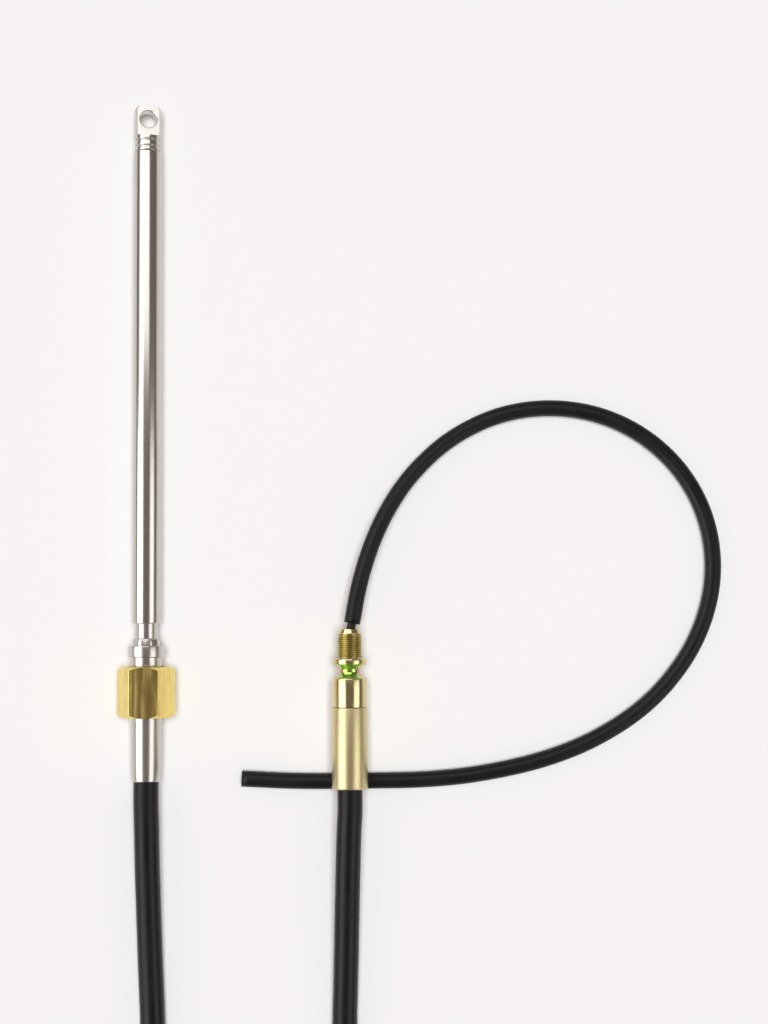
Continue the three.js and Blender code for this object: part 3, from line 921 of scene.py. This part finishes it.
class STEERING_OT_ram_fittings(bpy.types.Operator):
    """Build the guide tube, the staked collar and the ferrule with its flange"""

    bl_idname = "steering.ram_fittings"
    bl_label = "Ram end fittings"

    def execute(self, context):
        self.satin = ground_stainless("turned stainless steel", base_roughness=0.25, line_mm=0.5)
        self.make_guide()
        self.make_collar()
        self.make_ferrule()
        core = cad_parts["inner_core_in_ram"].data
        core.materials.clear()
        core.materials.append(greased_core())
        return {"FINISHED"}

    def make_guide(self):
        low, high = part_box("guide_tube")
        outer = radius_mm(sizes().guide_od)
        bore = radius_mm(sizes().guide_bore)
        profile = [
            (bore, along_ram(low.y), 0.3),
            (outer, along_ram(low.y), 0.3),
            (outer, along_ram(high.y), 0.5),
            (bore, along_ram(high.y), 0.3),
        ]
        guide = to_object("guide_tube_drawn", move_mesh(lathe(profile, True), RAM_AXIS), self.satin)
        fit_piece(guide, FIXED, "stainless", "guide_tube")

    def make_collar(self):
        """A ring whose rim was pressed flat in eight places round the guide tube."""
        lift = 0.05
        bore = radius_mm(sizes().guide_od) + lift
        low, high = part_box("staked_collar")
        outer = radius_mm(high.x - low.x)
        profile = [
            (bore, FERRULE_END + lift, 0),
            (outer, FERRULE_END + lift, 0),
            (outer, COLLAR_END, 0.7),
            (bore, COLLAR_END, 0.15),
        ]
        made = lathe(profile, True)
        # The presses go deepest at the front edge.
        presses = 8
        press_depth = 0.45 * MM
        rim = (outer - 1.0) * MM
        for vert in made.verts:
            radius = math.hypot(vert.co.x, vert.co.z)
            if radius > rim:
                angle = math.atan2(vert.co.x, vert.co.z) * presses
                height = (vert.co.y / MM - FERRULE_END) / (COLLAR_END - FERRULE_END)
                dent = press_depth * (0.5 + 0.5 * math.cos(angle)) * (0.35 + 0.65 * height)
                vert.co.x *= 1 - dent / radius
                vert.co.z *= 1 - dent / radius
        collar = to_object("staked_collar_ring", move_mesh(made, RAM_AXIS), self.satin, 45)
        fit_piece(collar, FIXED, "stainless", "staked_collar")

    def make_ferrule(self):
        size = sizes()
        body = radius_mm(size.ferrule_od)
        flange = radius_mm(size.flange_od)
        start = size.flange_start / MM
        seat = radius_mm(size.guide_od) + BORE_FIT
        seat_end = FERRULE_END - 12
        bore = radius_mm(size.core_od) + BORE_FIT
        jacket = radius_mm(size.jacket_od) + JACKET_FIT
        jacket_end = 6
        # The four places from the rear end on are the tapered sleeve, as measured in the photograph.
        profile = [
            (jacket, 0, 0.25),
            (8.0, 0, 0.9),
            (8.4, 12, 0),
            (8.65, 36, 0),
            (body, 42, 1.0),
            (body, start, 0.2),
            (flange, start, 0.5),
            (flange, FERRULE_END, 0.5),
            (seat, FERRULE_END, 0.3),
            (seat, seat_end, 0),
            (bore, seat_end, 0),
            (bore, jacket_end, 0),
            (jacket, jacket_end, 0),
        ]
        ferrule = to_object("ram_ferrule_turned", move_mesh(lathe(profile, True), RAM_AXIS), self.satin)
        fit_piece(ferrule, FIXED, "stainless", "ram_end_ferrule")


class STEERING_OT_nut(bpy.types.Operator):
    """Build the brass coupling nut with its chamfered corners and its thread"""

    bl_idname = "steering.nut"
    bl_label = "Coupling nut"

    def execute(self, context):
        made = bmesh.new()
        edge_round = 0.35
        corner = sizes().nut_flats / math.sqrt(3)
        bmesh.ops.create_cone(
            made,
            cap_ends=True,
            segments=6,
            radius1=corner,
            radius2=corner,
            depth=(NUT_END - NUT_START) * MM,
        )
        upright = [e for e in made.edges if abs(e.verts[0].co.z - e.verts[1].co.z) > 1 * MM]
        round_off(made, upright, edge_round, "EDGES", segments=3)
        middle = Matrix.Translation((0, (NUT_START + NUT_END) / 2 * MM, 0))
        along_axis = middle @ Matrix.Rotation(math.pi / 2, 4, "X")
        bmesh.ops.transform(made, matrix=along_axis, verts=made.verts)
        # The nut lies with a flat up, as in the photograph.
        flat_up = min(abs(v.co.x) for v in made.verts) > 1 * MM
        if not flat_up:
            bmesh.ops.rotate(made, matrix=Matrix.Rotation(math.pi / 6, 4, "Y"), verts=made.verts)
        nut = to_object("coupling_nut_brass", made, drawn_brass())
        cut(nut, self.corner_cones(corner / MM), "INTERSECT")
        cut(nut, self.bore_cutter())
        nut.data.transform(Matrix.Translation(RAM_AXIS))
        shade_by_angle(nut, 24)
        fit_piece(nut, NUT, "brass", "coupling_nut")
        return {"FINISHED"}

    def corner_cones(self, corner):
        """The turned shape that takes the nut's corners off at both ends."""
        face = corner - 2.2
        rim = corner + 0.5
        slope = math.radians(43)
        drop = (rim - face) * math.tan(slope)
        profile = [
            (0, NUT_START, 0),
            (face, NUT_START, 0.4),
            (rim, NUT_START + drop, 0),
            (rim, NUT_END - drop, 0),
            (face, NUT_END, 0.4),
            (0, NUT_END, 0),
        ]
        return to_object("corner cones", lathe(profile, False, 120))

    def bore_cutter(self):
        """The shoulder's bore, then the thread as rings of its pitch, then the mouth's chamfer."""
        shoulder = radius_mm(sizes().nut_shoulder)
        crest = radius_mm(sizes().nut_bore)
        root = crest + 0.75
        mouth = crest + 1.1
        pitch = sizes().nut_pitch / MM
        start = NUT_START + 4.0
        beyond = 5
        plain = 1.2
        profile = [
            (0, NUT_START - beyond, 0),
            (shoulder, NUT_START - beyond, 0),
            (shoulder, start, 0),
            (crest, start, 0),
        ]
        along = start + plain
        while along + pitch < NUT_END - plain:
            profile += [(crest, along, 0), (root, along + pitch / 2, 0)]
            along += pitch
        profile += [(crest, along, 0), (crest, NUT_END - 1.0, 0), (mouth, NUT_END + 0.1, 0)]
        profile += [(mouth, NUT_END + beyond, 0), (0, NUT_END + beyond, 0)]
        return to_object("bore cutter", lathe(profile, False, 72))


class STEERING_OT_helm_fittings(bpy.types.Operator):
    """Build the helm ferrule, the fitting with its waist, flange and thread, and the core in its nose"""

    bl_idname = "steering.helm_fittings"
    bl_label = "Helm end fittings"

    def execute(self, context):
        self.make_ferrule()
        self.make_fitting()
        self.make_core()
        return {"FINISHED"}

    def make_ferrule(self):
        rear = radius_mm(sizes().helm_ferrule_od)
        jacket = radius_mm(sizes().jacket_od) + JACKET_FIT
        jacket_end = 8
        bore = radius_mm(sizes().core_od) + BORE_FIT
        end = HELM_FERRULE_END
        profile = [
            (jacket, 0, 0.3),
            (rear, 0, 0.8),
            (rear - 0.2, end, 0.15),
            (bore, end, 0),
            (bore, jacket_end, 0),
            (jacket, jacket_end, 0),
        ]
        finish = yellow_zinc("yellow zinc on the pressed ferrule", base_roughness=0.36, rainbow=0.25)
        ferrule = to_object("helm_ferrule_pressed", move_mesh(lathe(profile, True), HELM_AXIS), finish)
        fit_piece(ferrule, FIXED, "yellow_zinc", "helm_ferrule")

    def make_fitting(self):
        size = sizes()
        body = radius_mm(size.helm_body_od)
        neck = radius_mm(size.helm_neck_od)
        flange = radius_mm(size.helm_flange_od)
        thread = radius_mm(size.helm_thread_od)
        bore = radius_mm(size.core_od) + BORE_FIT
        root = thread - 0.6
        rim = 5.8
        hollow_depth = 1.7
        waist = []
        steps = 12
        for k in range(steps + 1):
            share = k / steps
            hollow = neck + hollow_depth * (1 - math.sin(math.pi * share))
            waist.append((hollow, BODY_END + (HELM_FLANGE_START - BODY_END) * share, 0))
        profile = [
            (bore, BODY_START, 0),
            (body, BODY_START, 0.12),
            (body, BODY_END, 0.9),
            *waist,
            (flange, HELM_FLANGE_START, 1.3),
            (flange, THREAD_START, 1.1),
            (root, THREAD_START, 0),
            (root, NOSE_END - NOSE_TIP, 0),
            (thread - 0.4, NOSE_END - NOSE_TIP + 0.1, 0.2),
            (rim, NOSE_END, 0.25),
            (bore, NOSE_END, 0.3),
        ]
        made = lathe(profile, True)
        self.add_thread(made, root, thread)
        fitting = to_object("helm_fitting_machined", move_mesh(made, HELM_AXIS), helm_zinc())
        fit_piece(fitting, FIXED, "yellow_zinc", "helm_fitting")

    def add_thread(self, made, root, crest):
        """One rib wound up the nose, of the thread's own pitch."""
        pitch = sizes().helm_pitch / MM
        steps = 48
        first = THREAD_START + 0.1
        turns = (NOSE_END - NOSE_TIP - 0.3 - first) / pitch - 0.9
        rib = bmesh.new()
        sunk = root - 0.1
        section = [(sunk, 0.05), (crest, pitch * 0.44), (crest, pitch * 0.56), (sunk, pitch * 0.95)]
        corners = [rib.verts.new((r * MM, (first + y) * MM, 0)) for r, y in section]
        face = rib.faces.new(corners)
        bmesh.ops.spin(
            rib,
            geom=[face],
            cent=(0, 0, 0),
            axis=(0, 1, 0),
            angle=math.tau * turns,
            dvec=(0, pitch * MM / steps, 0),
            steps=round(steps * turns),
            use_duplicate=False,
        )
        bmesh.ops.recalc_face_normals(rib, faces=rib.faces)
        mesh = bpy.data.meshes.new("rib")
        rib.to_mesh(mesh)
        rib.free()
        made.from_mesh(mesh)
        bpy.data.meshes.remove(mesh)

    def make_core(self):
        """The bare core bends out of the nose's bore and into the sleeve."""
        nose = HELM_AXIS.y + NOSE_END * MM
        start = Vector(SLEEVE_ROUTE[0])
        heading = (Vector(SLEEVE_ROUTE[1]) - start).normalized()
        points = [
            Vector((HELM_AXIS.x, nose - 9 * MM, HELM_AXIS.z)),
            Vector((HELM_AXIS.x + 0.2 * MM, nose - 4 * MM, HELM_AXIS.z)),
            Vector((HELM_AXIS.x + 0.7 * MM, nose, HELM_AXIS.z)),
            start + heading * 1.5 * MM,
            start + heading * 9 * MM,
        ]
        line = smooth_line(points, spacing=0.8 * MM)
        core = cord_curve("core_at_nose", line, sizes().core_od, greased_core())
        fit_piece(core, FIXED, "core_steel", "inner_core_at_helm")


class STEERING_PT_panel(bpy.types.Panel):
    """Lists the steps that build the steering cable"""

    bl_idname = "STEERING_PT_panel"
    bl_label = "Steering Cable"
    bl_space_type = "VIEW_3D"
    bl_region_type = "UI"
    bl_category = "Steering Cable"

    def draw(self, context):
        for operator in OPERATORS:
            self.layout.operator(operator.bl_idname)


GROUPS = (SteeringCableSizes, SteeringCableColours)
OPERATORS = (
    STEERING_OT_stage,
    STEERING_OT_jacket,
    STEERING_OT_sleeve,
    STEERING_OT_ram,
    STEERING_OT_ram_fittings,
    STEERING_OT_nut,
    STEERING_OT_helm_fittings,
)


def register():
    for kind in (*GROUPS, *OPERATORS, STEERING_PT_panel):
        bpy.utils.register_class(kind)
    bpy.types.Scene.steering_cable_sizes = bpy.props.PointerProperty(type=SteeringCableSizes)
    bpy.types.Scene.steering_cable_colours = bpy.props.PointerProperty(type=SteeringCableColours)


def unregister():
    del bpy.types.Scene.steering_cable_colours
    del bpy.types.Scene.steering_cable_sizes
    for kind in reversed((*GROUPS, *OPERATORS, STEERING_PT_panel)):
        bpy.utils.unregister_class(kind)


def main():
    register()
    bpy.ops.steering.stage()
    bpy.ops.steering.jacket()
    bpy.ops.steering.sleeve()
    bpy.ops.steering.ram()
    bpy.ops.steering.ram_fittings()
    bpy.ops.steering.nut()
    bpy.ops.steering.helm_fittings()


if __name__ == "__main__":
    main()
